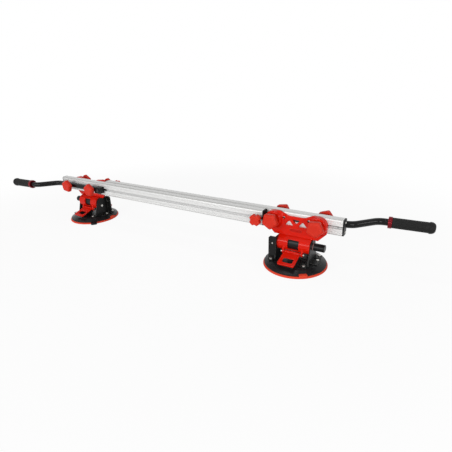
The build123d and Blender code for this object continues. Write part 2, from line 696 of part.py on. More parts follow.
# Screws of the brackets: feet and barrel end, and the rivet in the flange
all_foot_screws = [(unit_x + x, cup_y + y) for way in (-1, 1) for x, y in foot_screw_points(way)]
with BuildPart() as screws:
    with BuildSketch(Plane.XY.offset(foot_z + foot_thickness)):
        with Locations(*all_foot_screws):
            Circle(screw_head_diameter / 2)
    extrude(amount=screw_head_height)
    fillet(screws.faces().group_by(Axis.Z)[-1].edges(), screw_head_round)
    with BuildSketch(Plane.XY.offset(foot_z + foot_thickness)):
        with Locations(*all_foot_screws):
            Circle(screw_diameter / 2)
    extrude(amount=-screw_length)
    end_screw_z = pump_z - end_screw_drop
    web_face = unit_x - barrel_half - bracket_thickness
    with BuildSketch(along_x(web_face, cup_y, end_screw_z)):
        Circle(screw_head_diameter / 2)
    extrude(amount=-screw_head_height)
    with BuildSketch(along_x(web_face, cup_y, end_screw_z)):
        Circle(screw_diameter / 2)
    extrude(amount=bracket_thickness + end_screw_depth)
    flange_face = cup_y - bracket_half_depth
    with BuildSketch(along_y(rivet_x, pump_z, flange_face)):
        Circle(rivet_diameter / 2)
    extrude(amount=bracket_thickness)
    for face_y, out in ((flange_face, -1), (flange_face - bracket_thickness, 1)):
        with BuildSketch(along_y(rivet_x, pump_z, face_y)):
            Circle(rivet_head_diameter / 2)
        extrude(amount=out * rivet_head_height)
save(screws.part, "bracket_screws")


def rim_plane(angle, z):
    """Plane on the cup at height z whose local X points out through the rim at the given angle."""
    turn = radians(angle)
    return Plane(origin=(unit_x, cup_y, z), x_dir=(cos(turn), sin(turn), 0), z_dir=(0, 0, 1))


def cup_plate(tab_angle, tongue_angle):
    """Stiff black plate of the cup: a low cone with a notch for the red tab and a pull tongue with a lip."""
    edge_radius = pad_radius - cup_plate_inset
    flat_radius = edge_radius - cup_plate_slope
    tongue_end = pad_radius + tongue_reach
    with BuildPart() as plate:
        with BuildSketch(along_y(unit_x, pad_thickness, cup_y)):
            Polygon((0, 0), (edge_radius, 0), (edge_radius, cup_plate_edge), (flat_radius, cup_plate_height),
                    (0, cup_plate_height), align=None)
        revolve(axis=Axis((unit_x, cup_y, 0), (0, 0, 1)))
        with BuildSketch(rim_plane(tab_angle, pad_thickness)):
            with Locations((pad_radius, 0)):
                Rectangle(2 * tab_depth + 2 * seat_gap, tab_width + 2 * seat_gap)
        extrude(amount=cup_plate_height, mode=Mode.SUBTRACT)
        with BuildSketch(rim_plane(tongue_angle, pad_thickness)):
            with Locations(((flat_radius + tongue_end) / 2, 0)):
                RectangleRounded(tongue_end - flat_radius, tongue_width, tongue_corner)
        extrude(amount=tongue_thickness)
        lip_start = pad_radius + tongue_lip_gap
        with BuildSketch(rim_plane(tongue_angle, tongue_lip_foot)):
            with Locations(((lip_start + tongue_end) / 2, 0)):
                RectangleRounded(tongue_end - lip_start, tongue_width, tongue_corner)
        extrude(amount=pad_thickness + tongue_thickness - tongue_lip_foot)
        with BuildSketch(Plane.XY.offset(foot_z)):
            with Locations(*all_foot_screws):
                Circle(screw_hole / 2)
        extrude(amount=-(screw_length - foot_thickness + seat_gap), mode=Mode.SUBTRACT)
    return plate.part


def cup_pad(tab_angle):
    """Red rubber pad: a flat lip round a shallow hollow, with a tab to break the vacuum."""
    lip_inner = pad_radius - pad_lip
    with BuildPart() as pad:
        with BuildSketch(along_y(unit_x, 0, cup_y)):
            Polygon((0, pad_hollow), (lip_inner - pad_hollow, pad_hollow), (lip_inner, 0), (pad_radius, 0),
                    (pad_radius, pad_thickness - pad_edge), (pad_radius - pad_edge, pad_thickness),
                    (0, pad_thickness), align=None)
        revolve(axis=Axis((unit_x, cup_y, 0), (0, 0, 1)))
        with BuildSketch(rim_plane(tab_angle, pad_thickness - pad_edge)):
            with Locations((pad_radius - tab_depth / 2, 0)):
                RectangleRounded(tab_depth, tab_width, tab_corner)
        extrude(amount=tab_height)
        fillet(pad.faces().sort_by(Axis.Z)[-1].edges(), tab_round)
    return pad.part


for cup_side in ("right", "left"):
    # The left unit is turned half a turn, so its angles are counted from its own turned axis
    own_turn = 180.0 if cup_side == "left" else 0.0
    tab = tab_angles[cup_side] - own_turn
    tongue = tongue_angles[cup_side] - own_turn
    save(cup_plate(tab, tongue), "cup_plate", (cup_side,))
    save(cup_pad(tab), "cup_pad", (cup_side,))


def latch_lever(way):
    """Tray shaped lever on its latch pin: way is -1 on the inner side of the carriage, 1 on the outer."""
    slope = radians(lever_slope)
    hinge_y = cup_y + way * pin_out
    tray = Plane(origin=(unit_x, hinge_y, pin_z), x_dir=(way, 0, 0), z_dir=(0, way * sin(slope), cos(slope)))
    root_corners = [(-lever_half_root, 0), (lever_half_root, 0)]
    tip_corners = [(lever_half_tip, lever_length), (-lever_half_tip, lever_length)]
    with BuildPart() as lever:
        with BuildSketch(tray) as floor:
            Polygon(*root_corners, *tip_corners, align=None)
            fillet(floor.vertices().sort_by(Axis.Y)[-2:], lever_rim)
        extrude(amount=lever_rim_height)
        with BuildSketch(tray.offset(lever_floor)):
            Polygon(*root_corners, *tip_corners, align=None)
            offset(amount=-lever_rim)
            Rectangle(2 * (lever_half_root - lever_rim), 4 * lever_rim)
        extrude(amount=lever_rim_height, mode=Mode.SUBTRACT)
        with BuildSketch(tray):
            with Locations((0, lever_length - lever_hole_inset)):
                RectangleRounded(lever_hole_width, lever_hole_length, lever_hole_round)
        extrude(amount=lever_rim_height, mode=Mode.SUBTRACT)
        with BuildSketch(along_x(unit_x - lever_half_root, hinge_y, pin_z)):
            Circle(lever_barrel_radius)
        extrude(amount=2 * lever_half_root)
        with BuildSketch(along_x(unit_x - lever_half_tip, hinge_y, pin_z)):
            Circle(pin_diameter / 2 + running_gap)
        extrude(amount=2 * lever_half_tip, mode=Mode.SUBTRACT)
    return lever.part


save(latch_lever(-1), "latch_lever_inner")
save(latch_lever(1), "latch_lever_outer")

# Latch pins: held in the ears of the carriage
with BuildPart() as pins:
    with BuildSketch(along_x(unit_x - pin_half, cup_y, pin_z)):
        with GridLocations(2 * pin_out, 0, 2, 1):
            Circle(pin_diameter / 2)
    extrude(amount=2 * pin_half)
save(pins.part, "latch_pins")
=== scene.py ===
import bmesh
import bpy
import numpy as np
from mathutils import Matrix, Vector


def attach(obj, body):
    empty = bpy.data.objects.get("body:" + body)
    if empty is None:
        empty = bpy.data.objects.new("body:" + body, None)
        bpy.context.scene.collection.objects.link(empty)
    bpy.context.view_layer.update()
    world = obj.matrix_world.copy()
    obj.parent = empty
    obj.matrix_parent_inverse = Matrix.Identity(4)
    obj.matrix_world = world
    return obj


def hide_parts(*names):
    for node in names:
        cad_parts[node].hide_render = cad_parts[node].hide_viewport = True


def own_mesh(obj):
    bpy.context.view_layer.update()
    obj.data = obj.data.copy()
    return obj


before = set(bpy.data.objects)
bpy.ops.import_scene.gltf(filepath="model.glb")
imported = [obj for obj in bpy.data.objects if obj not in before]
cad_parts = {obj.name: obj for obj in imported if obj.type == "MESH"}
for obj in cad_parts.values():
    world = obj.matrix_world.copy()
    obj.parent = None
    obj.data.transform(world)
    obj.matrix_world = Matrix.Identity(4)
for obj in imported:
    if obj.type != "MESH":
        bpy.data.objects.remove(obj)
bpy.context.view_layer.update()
scene = bpy.context.scene

# Bars: two extruded aluminium profiles that slide along each other, brushed lengthwise and anodised.
# A thin aluminium strip is pressed into the slot of each outer face, a little below the surface, coloured
# darker than the bar as painted shade of the slot.


class Wire:
    """One socket of a material: arithmetic on it adds Math nodes, and node() adds any other node."""

    def __init__(self, tree, socket=None):
        self.tree = tree
        self.socket = socket

    def node(self, kind, settings, inputs, output=0):
        """Add a node of one kind: first its settings, then its sockets; one output comes back."""
        made = self.tree.nodes.new(kind)
        for key, value in settings.items():
            setattr(made, key, value)
        for key, value in inputs.items():
            if isinstance(value, Wire):
                self.tree.links.new(value.socket, made.inputs[key])
            else:
                made.inputs[key].default_value = value
        return Wire(self.tree, None if output is None else made.outputs[output])

    def math(self, operation, first, second):
        return self.node("ShaderNodeMath", {"operation": operation}, {0: first, 1: second})

    def __add__(self, other):
        return self.math("ADD", self, other)

    def __radd__(self, other):
        return self.math("ADD", other, self)

    def __sub__(self, other):
        return self.math("SUBTRACT", self, other)

    def __rsub__(self, other):
        return self.math("SUBTRACT", other, self)

    def __mul__(self, other):
        return self.math("MULTIPLY", self, other)

    def __rmul__(self, other):
        return self.math("MULTIPLY", other, self)

    def __abs__(self):
        return self.node("ShaderNodeMath", {"operation": "ABSOLUTE"}, {0: self})

    def axis(self, letter):
        """One coordinate of a place."""
        return self.node("ShaderNodeSeparateXYZ", {}, {"Vector": self}, letter)

    def ramp(self, low, high):
        """Smooth step from 0 at low to 1 at high."""
        settings = {"interpolation_type": "SMOOTHSTEP"}
        return self.node("ShaderNodeMapRange", settings, {"Value": self, "From Min": low, "From Max": high})


def grain(here, scale, stretch=(1.0, 1.0, 1.0), detail=3.0):
    """Noise from 0 to 1 with scale features to the metre, drawn out along the axes with a small stretch."""
    place = here.node("ShaderNodeMapping", {}, {"Vector": here, "Scale": stretch})
    return here.node("ShaderNodeTexNoise", {}, {"Vector": place, "Scale": scale, "Detail": detail})


def tint(share, low, high):
    """Colour between low and high, by a share from 0 to 1; either may be a colour worked out before."""
    ends = [end if isinstance(end, Wire) else (*end, 1.0) for end in (low, high)]
    mix = {"Factor": share, 6: ends[0], 7: ends[1]}
    return share.node("ShaderNodeMix", {"data_type": "RGBA", "clamp_factor": True}, mix, 2)


def bump(height, depth, under=None):
    """Normal that follows a height from 0 to 1, depth metres deep, over another normal if one is given."""
    sockets = {"Height": height, "Distance": depth, "Strength": 1.0}
    if under is not None:
        sockets["Normal"] = under
    return height.node("ShaderNodeBump", {}, sockets)


EDGE_SAMPLES, EDGE_LEAN = 6, (0.02, 0.25)


def softened_edges(here, radius):
    """Normal rounded over the edges within a radius, and the mask of the edges, which is how far that
    normal leans from the face."""
    soft = here.node("ShaderNodeBevel", {"samples": EDGE_SAMPLES}, {"Radius": radius})
    face = here.node("ShaderNodeNewGeometry", {}, {}, "True Normal")
    meet = here.node("ShaderNodeVectorMath", {"operation": "DOT_PRODUCT"}, {0: soft, 1: face}, "Value")
    return soft, (1.0 - meet).ramp(*EDGE_LEAN)


def start(name):
    """New material: its object coordinates are the first socket to work from."""
    made = bpy.data.materials.new(name)
    made.use_nodes = True
    made.node_tree.nodes.clear()
    return made, Wire(made.node_tree).node("ShaderNodeTexCoord", {}, {}, "Object")


def close(here, sockets):
    """End a material with its shader and output."""
    shader = here.node("ShaderNodeBsdfPrincipled", {}, sockets)
    here.node("ShaderNodeOutputMaterial", {"target": "ALL"}, {"Surface": shader}, None)


def dress(material, *names):
    """Give the two twins of each named solid a material."""
    for name in names:
        for side in ("right", "left"):
            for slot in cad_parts[f"{name}_{side}"].material_slots:
                slot.material = material


def rounded(corners, steps=6):
    """Line through corners of (reach, height, cut): each corner becomes the parabola that leaves its two
    runs one cut away from it, (1 - t)^2 a + 2 t (1 - t) b + t^2 c."""
    table = np.array(corners, float)
    b, cut = table[:, :2], table[:, 2:]
    back = np.roll(b, 1, axis=0) - b
    ahead = np.roll(b, -1, axis=0) - b
    a = b + cut * back / np.linalg.norm(back, axis=1, keepdims=True)
    c = b + cut * ahead / np.linalg.norm(ahead, axis=1, keepdims=True)
    t = np.linspace(0.0, 1.0, steps)[None, :, None]
    curve = (1 - t) ** 2 * a[:, None] + 2 * t * (1 - t) * b[:, None] + t ** 2 * c[:, None]
    return curve.reshape(-1, 2)


def circle(count):
    """Angles of count equal steps round a whole turn."""
    return np.arange(count) * (2 * np.pi / count)


MM, MERGE, SHARP = 0.001, 1e-6, np.radians(38.0)


def fit(name, side, points, material, body, finish, *nodes, loop=False):
    """Piece over a grid of points in millimetres of the right half, turned half a turn for the left one.
    The columns close into a ring, and the rows too if they loop; doubles are merged and faces turned out."""
    turned = MM if side == "right" else -MM
    rows, columns = points.shape[:2]
    index = np.arange(rows * columns).reshape(rows, columns)
    index = np.hstack([index, index[:, :1]])
    if loop:
        index = np.vstack([index, index[:1]])
    quads = np.stack([index[:-1, :-1], index[:-1, 1:], index[1:, 1:], index[1:, :-1]], axis=-1)
    mesh = bpy.data.meshes.new(f"{name}_{side}")
    places = points.reshape(-1, 3) * (turned, turned, MM)
    mesh.from_pydata(places.tolist(), [], quads.reshape(-1, 4).tolist())
    work = bmesh.new()
    work.from_mesh(mesh)
    bmesh.ops.remove_doubles(work, verts=work.verts, dist=MERGE)
    bmesh.ops.dissolve_degenerate(work, edges=work.edges, dist=MERGE)
    bmesh.ops.recalc_face_normals(work, faces=work.faces)
    work.to_mesh(mesh)
    work.free()
    mesh.shade_smooth()
    mesh.set_sharp_from_angle(angle=SHARP)
    mesh.materials.append(material)
    made = bpy.data.objects.new(f"{name}_{side}", mesh)
    scene.collection.objects.link(made)
    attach(made, body)
    if nodes:
        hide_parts(*nodes)
    return made


BAR_FACE, BAR_CENTRE, BAR_MIDDLE = 28.3, 14.3, 144.0
SHOULDER_SHADE_ACROSS, SHOULDER_SHADE_RISE = (0.0080, 0.0095), (0.0203, 0.0225)
SLOT_SHADE_ACROSS, SLOT_SHADE_RISE = (0.0126, 0.0134), (0.0080, 0.0086)
BRUSH_SCALE, BRUSH_STRETCH, BRUSH_DEPTH = 900.0, (0.0008, 1.0, 1.0), 0.00001

alloy, here = start("brushed_alloy")
lines = grain(here, BRUSH_SCALE, BRUSH_STRETCH)
cloud = grain(here, 30.0, (0.3, 1.0, 1.0))
off = abs(abs(here.axis("Y")) - BAR_CENTRE * MM)
rise = here.axis("Z") - BAR_MIDDLE * MM
# Painted shade: the rounded corners along the long edges of each bar are darkened, which darkens the groove
# between the two bars and their top edges.
painted_shoulder_shade = off.ramp(*SHOULDER_SHADE_ACROSS) * abs(rise).ramp(*SHOULDER_SHADE_RISE)
# Painted shade: the inside of each slot, deeper than the faces, is darkened almost to black.
slot = (1.0 - abs(rise).ramp(*SLOT_SHADE_RISE)) * (1.0 - off.ramp(*SLOT_SHADE_ACROSS))
soft, edge = softened_edges(here, 0.0008)
shade = tint(0.5 * lines + 0.5 * cloud, (0.67, 0.67, 0.665), (0.77, 0.77, 0.76))
shade = tint(0.75 * painted_shoulder_shade, shade, (0.40, 0.40, 0.39))
close(here, {
    "Base Color": tint(0.9 * slot, tint(0.3 * edge, shade, (0.55, 0.55, 0.54)), (0.05, 0.05, 0.05)),
    "Metallic": 0.25,
    "Roughness": 0.30 + 0.18 * lines,
    "Normal": bump(lines, BRUSH_DEPTH, soft),
})
dress(alloy, "bar")

# Painted shade: the strips and stops are coloured darker than the bar, standing for the shade in the slots
# they fill.
shade_painted_alloy, here = start("shade_painted_alloy")
lines = grain(here, BRUSH_SCALE, BRUSH_STRETCH)
close(here, {
    "Base Color": tint(lines, (0.47, 0.47, 0.47), (0.55, 0.55, 0.545)),
    "Metallic": 0.25,
    "Roughness": 0.36 + 0.18 * lines,
    "Normal": bump(lines, BRUSH_DEPTH),
})

STRIP_HALF, STRIP_END, STRIP_SUNK, STRIP_FOOT, STRIP_EDGE, STRIP_STEP = 4.0, 332.0, 1.3, 2.9, 1.0, 0.5
strip_half = [(STRIP_HALF, -STRIP_FOOT, 0.0), (STRIP_HALF, STRIP_STEP - STRIP_SUNK, 0.3),
              (STRIP_HALF - STRIP_EDGE, STRIP_STEP - STRIP_SUNK, 0.4),
              (STRIP_HALF - 2 * STRIP_EDGE, -STRIP_SUNK, 0.6)]
strip_line = rounded(strip_half + [(-height, depth, cut) for height, depth, cut in reversed(strip_half)])


def slot_strip(line, first, last, face, way):
    """Section of (height, depth) carried from first to last along a face of the bar, which looks along Y
    by its way; both ends are drawn together to close them."""
    along = np.array([first, first, last, last])[:, None]
    size = np.array([0.0, 1.0, 1.0, 0.0])[:, None]
    middle = line.mean(axis=0)
    across = middle[0] + (line[None, :, 0] - middle[0]) * size
    deep = middle[1] + (line[None, :, 1] - middle[1]) * size
    return np.stack([along + 0 * across, face + way * deep, BAR_MIDDLE + across], axis=-1)


for side in ("right", "left"):
    fit("slot_strip", side, slot_strip(strip_line, -STRIP_END, STRIP_END, BAR_FACE, 1.0), shade_painted_alloy,
        f"{side}_frame", "aluminium_bar")

# Bar caps: black moulded covers pushed into the chambers of the bars.
# Each outer cap is held by two small plated pan head screws with a cross recess.
plastic, here = start("black_moulding")
pebble = grain(here, 1800.0, detail=2.0)
flow = grain(here, 35.0)
soft, edge = softened_edges(here, 0.0006)
shade = tint(flow, (0.005, 0.005, 0.006), (0.011, 0.011, 0.011))
close(here, {
    "Base Color": tint(0.5 * edge, shade, (0.06, 0.058, 0.057)),
    "Roughness": 0.30 + 0.16 * flow + 0.06 * pebble,
    "Specular IOR Level": 0.16,
    "Normal": bump(pebble, 0.00003, soft),
})
dress(plastic, "bar_end_cap", "bar_inner_cap", "tube_end_block", "slide_lock_collar")

steel, here = start("plated_steel")
patch = grain(here, 220.0)
fine = grain(here, 3000.0)
soft, edge = softened_edges(here, 0.0004)
shade = tint(patch, (0.40, 0.39, 0.365), (0.56, 0.55, 0.52))
close(here, {
    "Base Color": tint(0.5 * edge, shade, (0.72, 0.71, 0.69)),
    "Metallic": 0.9,
    "Roughness": 0.26 + 0.2 * patch,
    "Normal": bump(fine, 0.00002, soft),
})

CAP_FACE, CAP_SCREW_RISE = 609.0, 14.5
PAN_HEAD = [(3.4, -1.0, 0.0), (3.4, 0.9, 0.5), (2.6, 1.6, 0.5), (2.0, 1.75, 0.2), (1.4, 1.8, 0.2),
            (0.8, 1.8, 0.2), (0.0, 1.8, 0.0)]
CROSS_MIDDLE, CROSS_ARM, CROSS_DEPTH, CROSS_SLANT, CROSS_FLOOR = 0.7, 1.3, 1.1, 0.5, 1.0
turn_64 = circle(64)


def pan_head(rise):
    """Dome of reach and height turned round X; a cross is sunk where the reach lies inside a star,
    middle + arm cos(2 angle)^6."""
    line = rounded(PAN_HEAD)
    reach = line[:, :1] + 0 * turn_64
    star = CROSS_MIDDLE + CROSS_ARM * np.cos(2 * turn_64) ** 6
    sunk = CROSS_DEPTH * np.clip((star - reach) / CROSS_SLANT, 0.0, 1.0) * (line[:, 1:] > CROSS_FLOOR)
    return np.stack([CAP_FACE + line[:, 1:] - sunk, BAR_CENTRE + reach * np.cos(turn_64),
                     BAR_MIDDLE + rise + reach * np.sin(turn_64)], axis=-1)


for side in ("right", "left"):
    fit("cap_screw_upper", side, pan_head(CAP_SCREW_RISE), steel, f"{side}_frame", "steel")
    fit("cap_screw_lower", side, pan_head(-CAP_SCREW_RISE), steel, f"{side}_frame", "steel")

# Handle tubes: steel tube bent twice and coated glossy black, clamped against the outer face of the bar.
# The inner end sits in a black block whose blackened screw goes into the slot.
gloss, here = start("gloss_black_coat")
peel = grain(here, 450.0, detail=1.0)
rub = grain(here, 60.0, (0.4, 1.0, 1.0))
close(here, {
    "Base Color": tint(rub, (0.002, 0.002, 0.002), (0.006, 0.006, 0.006)),
    "Roughness": 0.13 + 0.06 * rub,
    "Specular IOR Level": 0.17,
    "Normal": bump(peel, 0.000004),
})
dress(gloss, "handle_tube")

dark_steel, here = start("blackened_steel")
patch = grain(here, 260.0)
soft, edge = softened_edges(here, 0.0004)
shade = tint(patch, (0.035, 0.035, 0.036), (0.075, 0.074, 0.073))
close(here, {
    "Base Color": tint(0.6 * edge, shade, (0.34, 0.33, 0.32)),
    "Metallic": 0.8,
    "Roughness": 0.3 + 0.2 * patch,
    "Normal": bump(patch, 0.00002, soft),
})
dress(dark_steel, "tube_block_screw")

# Slot stops: short aluminium fillers in the inner slots at the handle ends, where the slot would let the
# bolt of a slide lock out. Each is held by a blackened grub screw with a hexagon socket.
INNER_FACE, STOP_START, STOP_END, STOP_LOW, STOP_HIGH, STOP_SUNK = 0.3, 556.0, 606.0, -4.0, 2.2, 0.7
GRUB_X, GRUB_RISE, SOCKET_FLAT, SOCKET_DEPTH, SOCKET_SLANT = 592.5, 0.6, 1.3, 1.2, 0.15
GRUB_HEAD = [(2.5, 1.5, 0.0), (2.5, 0.0, 0.3), (1.8, -0.1, 0.1), (1.5, -0.1, 0.0), (1.2, -0.1, 0.0),
             (0.6, -0.1, 0.0), (0.0, -0.1, 0.0)]
stop_line = rounded([(STOP_HIGH, -STRIP_FOOT, 0.0), (STOP_HIGH, -STOP_SUNK, 0.5),
                     (STOP_LOW, -STOP_SUNK, 0.5), (STOP_LOW, -STRIP_FOOT, 0.0)])


def grub_screw():
    """Screw end turned round Y; the floor of its socket is sunk where the reach lies inside a hexagon,
    flat / cos(angle from the middle of the nearest flat)."""
    line = rounded(GRUB_HEAD)
    reach = line[:, :1] + 0 * turn_64
    flat = SOCKET_FLAT / np.cos(np.mod(turn_64 + np.pi / 6, np.pi / 3) - np.pi / 6)
    sunk = SOCKET_DEPTH * np.clip((flat - reach) / SOCKET_SLANT, 0.0, 1.0)
    return np.stack([GRUB_X + reach * np.cos(turn_64), INNER_FACE + STOP_SUNK + line[:, 1:] + sunk,
                     BAR_MIDDLE + GRUB_RISE + reach * np.sin(turn_64)], axis=-1)


for side in ("right", "left"):
    fit("slot_stop", side, slot_strip(stop_line, STOP_START, STOP_END, INNER_FACE, -1.0), shade_painted_alloy,
        f"{side}_frame", "aluminium_bar")
    fit("grub_screw", side, grub_screw(), dark_steel, f"{side}_frame", "steel")

# Grip rings: red anodised aluminium rings that lock the grips on the tubes.
# They are turned, so fine lines run round the axis.
anodised, here = start("red_anodised")
turned = grain(here, 3000.0, (1.0, 0.02, 0.02))
soft, edge = softened_edges(here, 0.0006)
shade = tint(turned, (0.13, 0.004, 0.008), (0.20, 0.008, 0.014))
close(here, {
    "Base Color": tint(0.5 * edge, shade, (0.40, 0.10, 0.11)),
    "Metallic": 0.8,
    "Roughness": 0.16 + 0.12 * turned,
    "Normal": bump(turned, 0.00002, soft),
})
dress(anodised, "grip_ring")

# Grips: matt black rubber sleeves pushed on the ends of the tubes, moulded with flutes along them.
# The end is a thicker rounded bulb that keeps the hand from slipping off.
rubber, here = start("black_rubber")
skin = grain(here, 2400.0, detail=2.0)
dust = grain(here, 90.0)
soft, edge = softened_edges(here, 0.0008)
shade = tint(dust, (0.006, 0.006, 0.006), (0.014, 0.014, 0.014))
close(here, {
    "Base Color": tint(0.35 * edge, shade, (0.06, 0.058, 0.056)),
    "Roughness": 0.50 + 0.2 * dust,
    "Specular IOR Level": 0.16,
    "Normal": bump(skin, 0.00004, soft),
})
GRIP_BASE = np.array([718.14, 109.58, BAR_MIDDLE])
GRIP_SPLAY = np.radians(4.0)
GRIP_REACH, GRIP_LENGTH, BULB_REACH, GRIP_BORE, BORE_END = 15.5, 112.0, 17.0, 10.55, 105.0
NECK_END, BULB_START, BULB_ROUND = 94.2, 96.2, 14.4
FLUTES, FLUTE_STEPS, FLUTE_DEPTH, FLUTE_HALF = 18, 12, 1.2, 1.35
FLUTE_START, FLUTE_END, FLUTE_FADE = 4.0, 90.0, 3.0


def grip_sleeve():
    """Sleeve profile turned round the grip's axis; each flute lowers the reach by a half round groove,
    depth times the root of 1 - (way round from its middle / half width)^2, and fades out at both ends."""
    line = rounded([(0.0, BORE_END, 0.0), (GRIP_BORE, BORE_END, 0.0), (GRIP_BORE, 0.0, 0.0),
                    (GRIP_REACH, 0.0, 1.2), (GRIP_REACH, FLUTE_START, 0.0),
                    (GRIP_REACH, FLUTE_START + FLUTE_FADE, 0.0), (GRIP_REACH, FLUTE_END - FLUTE_FADE, 0.0),
                    (GRIP_REACH, FLUTE_END, 0.0), (GRIP_REACH, NECK_END, 1.0), (BULB_REACH, BULB_START, 1.0),
                    (BULB_REACH, GRIP_LENGTH, BULB_ROUND), (0.0, GRIP_LENGTH, 0.0)])
    reach, height = line[:, :1], line[:, 1:]
    angle = circle(FLUTES * FLUTE_STEPS)
    pitch = 2 * np.pi / FLUTES
    off = (np.mod(angle + pitch / 2, pitch) - pitch / 2) * GRIP_REACH / FLUTE_HALF
    groove = np.sqrt(np.clip(1.0 - off ** 2, 0.0, 1.0))
    near, far = (height - FLUTE_START) / FLUTE_FADE, (FLUTE_END - height) / FLUTE_FADE
    reach = reach - FLUTE_DEPTH * groove * np.clip(near, 0.0, 1.0) * np.clip(far, 0.0, 1.0)
    out = reach * np.cos(angle)
    return GRIP_BASE + np.stack([height * np.cos(GRIP_SPLAY) - out * np.sin(GRIP_SPLAY),
                                 height * np.sin(GRIP_SPLAY) + out * np.cos(GRIP_SPLAY),
                                 reach * np.sin(angle)], axis=-1)


for side in ("right", "left"):
    fit("grip_sleeve", side, grip_sleeve(), rubber, f"{side}_frame", "black_rubber", f"handle_grip_{side}")

# Carriages: cast alloy plates with two lobes and a saddle over the pump, under a glossy red coat.
# Every edge carries a pale painted highlight, paler still where chips of the coat are rubbed off, and the
# darker pad for a name is left bare.
NAME_PAD_X, NAME_PAD_Z = 0.468, 0.1135
NAME_PAD_ENDS, NAME_PAD_SIDES, NAME_PAD_FACE = (0.0185, 0.0195), (0.004, 0.005), (0.0045, 0.0055)
red_coat, here = start("red_coat")
peel = grain(here, 380.0, detail=1.0)
mottle = grain(here, 25.0)
chips = grain(here, 900.0, detail=4.0).ramp(0.60, 0.68)
# Painted highlight: an even pale line along every edge; the chips add rubbed wear on top of it.
soft, edge = softened_edges(here, 0.0012)
pad_x = 1.0 - abs(abs(here.axis("X")) - NAME_PAD_X).ramp(*NAME_PAD_ENDS)
pad_z = 1.0 - abs(here.axis("Z") - NAME_PAD_Z).ramp(*NAME_PAD_SIDES)
pad = pad_x * pad_z * abs(here.axis("Y")).ramp(*NAME_PAD_FACE)
shade = tint(mottle, (0.60, 0.007, 0.001), (0.70, 0.013, 0.003))
shade = tint(0.5 * pad, shade, (0.28, 0.004, 0.003))
close(here, {
    "Base Color": tint(0.25 * edge + 0.35 * edge * chips, shade, (0.84, 0.30, 0.22)),
    "Roughness": 0.14 + 0.10 * mottle,
    "Specular IOR Level": 0.13,
    "Normal": bump(peel, 0.00005, soft),
})
dress(red_coat, "carriage")

# Studs and washers: zinc plated steel, through knob, carriage, bar, tube and knob.
# They show only between the knobs and what they clamp.
dress(steel, "clamp_studs", "clamp_washers")

# Hand knobs: moulded red plastic, five sided with soft corners, on a round hub with the nut inside.
# The front face is slightly dished, as moulded faces sink.
red_plastic, here = start("red_moulding")
pebble = grain(here, 1600.0, detail=2.0)
flow = grain(here, 40.0)
soft, edge = softened_edges(here, 0.0010)
shade = tint(flow, (0.56, 0.018, 0.007), (0.66, 0.032, 0.014))
close(here, {
    "Base Color": tint(0.30 * edge, shade, (0.78, 0.14, 0.09)),
    "Roughness": 0.34 + 0.14 * flow,
    "Specular IOR Level": 0.16,
    "Normal": bump(pebble, 0.00004, soft),
})
KNOB_SIDES, KNOB_FLAT, KNOB_HEAD, KNOB_CHAMFER, KNOB_POWER = 5, 21.84, 17.0, 4.5, 12.9
HUB_REACH, KNOB_BORE, KNOB_SKIN = 13.0, 4.06, 3.8
DISH_EDGE, DISH_FLOOR, DISH_STEP, DISH_DEPTH = 14.5, 12.0, 0.5, 0.7
KNOB_TURNS = {
    "right": {"inner_near": -86.0, "inner_far": -83.0, "outer_near": 64.0, "outer_far": 73.0},
    "left": {"inner_near": 90.0, "inner_far": 84.0, "outer_near": 90.0, "outer_far": 98.0},
}
KNOB_FEET = {"inner": (-21.9, -1.0, 10.0), "outer": (51.9, 1.0, 2.5)}
STUD_PLACES = {"near": 398.0, "far": 538.0}


def hand_knob(stud_x, foot_y, way, hub, turn):
    """Knob profile turned round its stud. Off the hub the reach is divided by the p mean of the cosines to
    the five flats, (sum of max(cos, 0)^p)^(1/p), which gives a pentagon with soft corners."""
    top = hub + KNOB_HEAD
    line = rounded([(0.0, top - KNOB_SKIN, 0.0), (KNOB_BORE, top - KNOB_SKIN, 0.0), (KNOB_BORE, 0.0, 0.0),
                    (HUB_REACH, 0.0, 0.8), (HUB_REACH, hub, 0.6), (KNOB_FLAT, hub, 1.6),
                    (KNOB_FLAT, top - KNOB_CHAMFER, 1.6), (KNOB_FLAT - KNOB_CHAMFER, top, 1.6),
                    (DISH_EDGE, top, 0.0), (DISH_FLOOR, top - DISH_STEP, 1.5),
                    (0.0, top - DISH_DEPTH, 0.0)], 7)
    angle = circle(180)
    step = 360.0 / KNOB_SIDES
    flats = np.radians(turn + step / 2 + step * np.arange(KNOB_SIDES))[:, None]
    spread = (np.clip(np.cos(angle - flats), 0.0, 1.0) ** KNOB_POWER).sum(axis=0) ** (1.0 / KNOB_POWER)
    share = np.clip((line[:, :1] - HUB_REACH) / (KNOB_FLAT - KNOB_CHAMFER - HUB_REACH), 0.0, 1.0)
    reach = line[:, :1] * (1.0 + share * (1.0 / spread - 1.0))
    return np.stack([stud_x + reach * np.cos(angle), foot_y + way * line[:, 1:] + 0 * angle,
                     BAR_MIDDLE + reach * np.sin(angle)], axis=-1)


for side, turns in KNOB_TURNS.items():
    for kind, turn in turns.items():
        face, end = kind.split("_")
        foot_y, way, hub = KNOB_FEET[face]
        node = f"{face}_knob_{end}_{side}"
        fit(f"knob_{kind}", side, hand_knob(STUD_PLACES[end], foot_y, way, hub, turn), red_plastic, node,
            "red_plastic", node)

# Slide locks: a plated T bolt, a black spacer and a small four lobed knob of the same red plastic.
# The bolt's head lies in the slot of the other bar and clamps the two together.
dress(steel, "slide_lock_stud")
LOCK_X, LOCK_FOOT, LOCK_HEAD, LOCK_REACH, LOCK_BORE = -354.0, 42.5, 16.0, 18.5, 4.2
LOCK_SKIN, LOCK_CHAMFER = 3.7, 2.2
HOLLOW_EDGE, HOLLOW_FLOOR, HOLLOW_STEP, HOLLOW_DEPTH = 9.5, 8.2, 0.5, 0.6
NOTCH_MIDDLE, NOTCH_REACH, NOTCH_BLEND, NOTCH_FADE, NO_NOTCH = 21.5, 7.0, 14.0, 6.0, 60.0


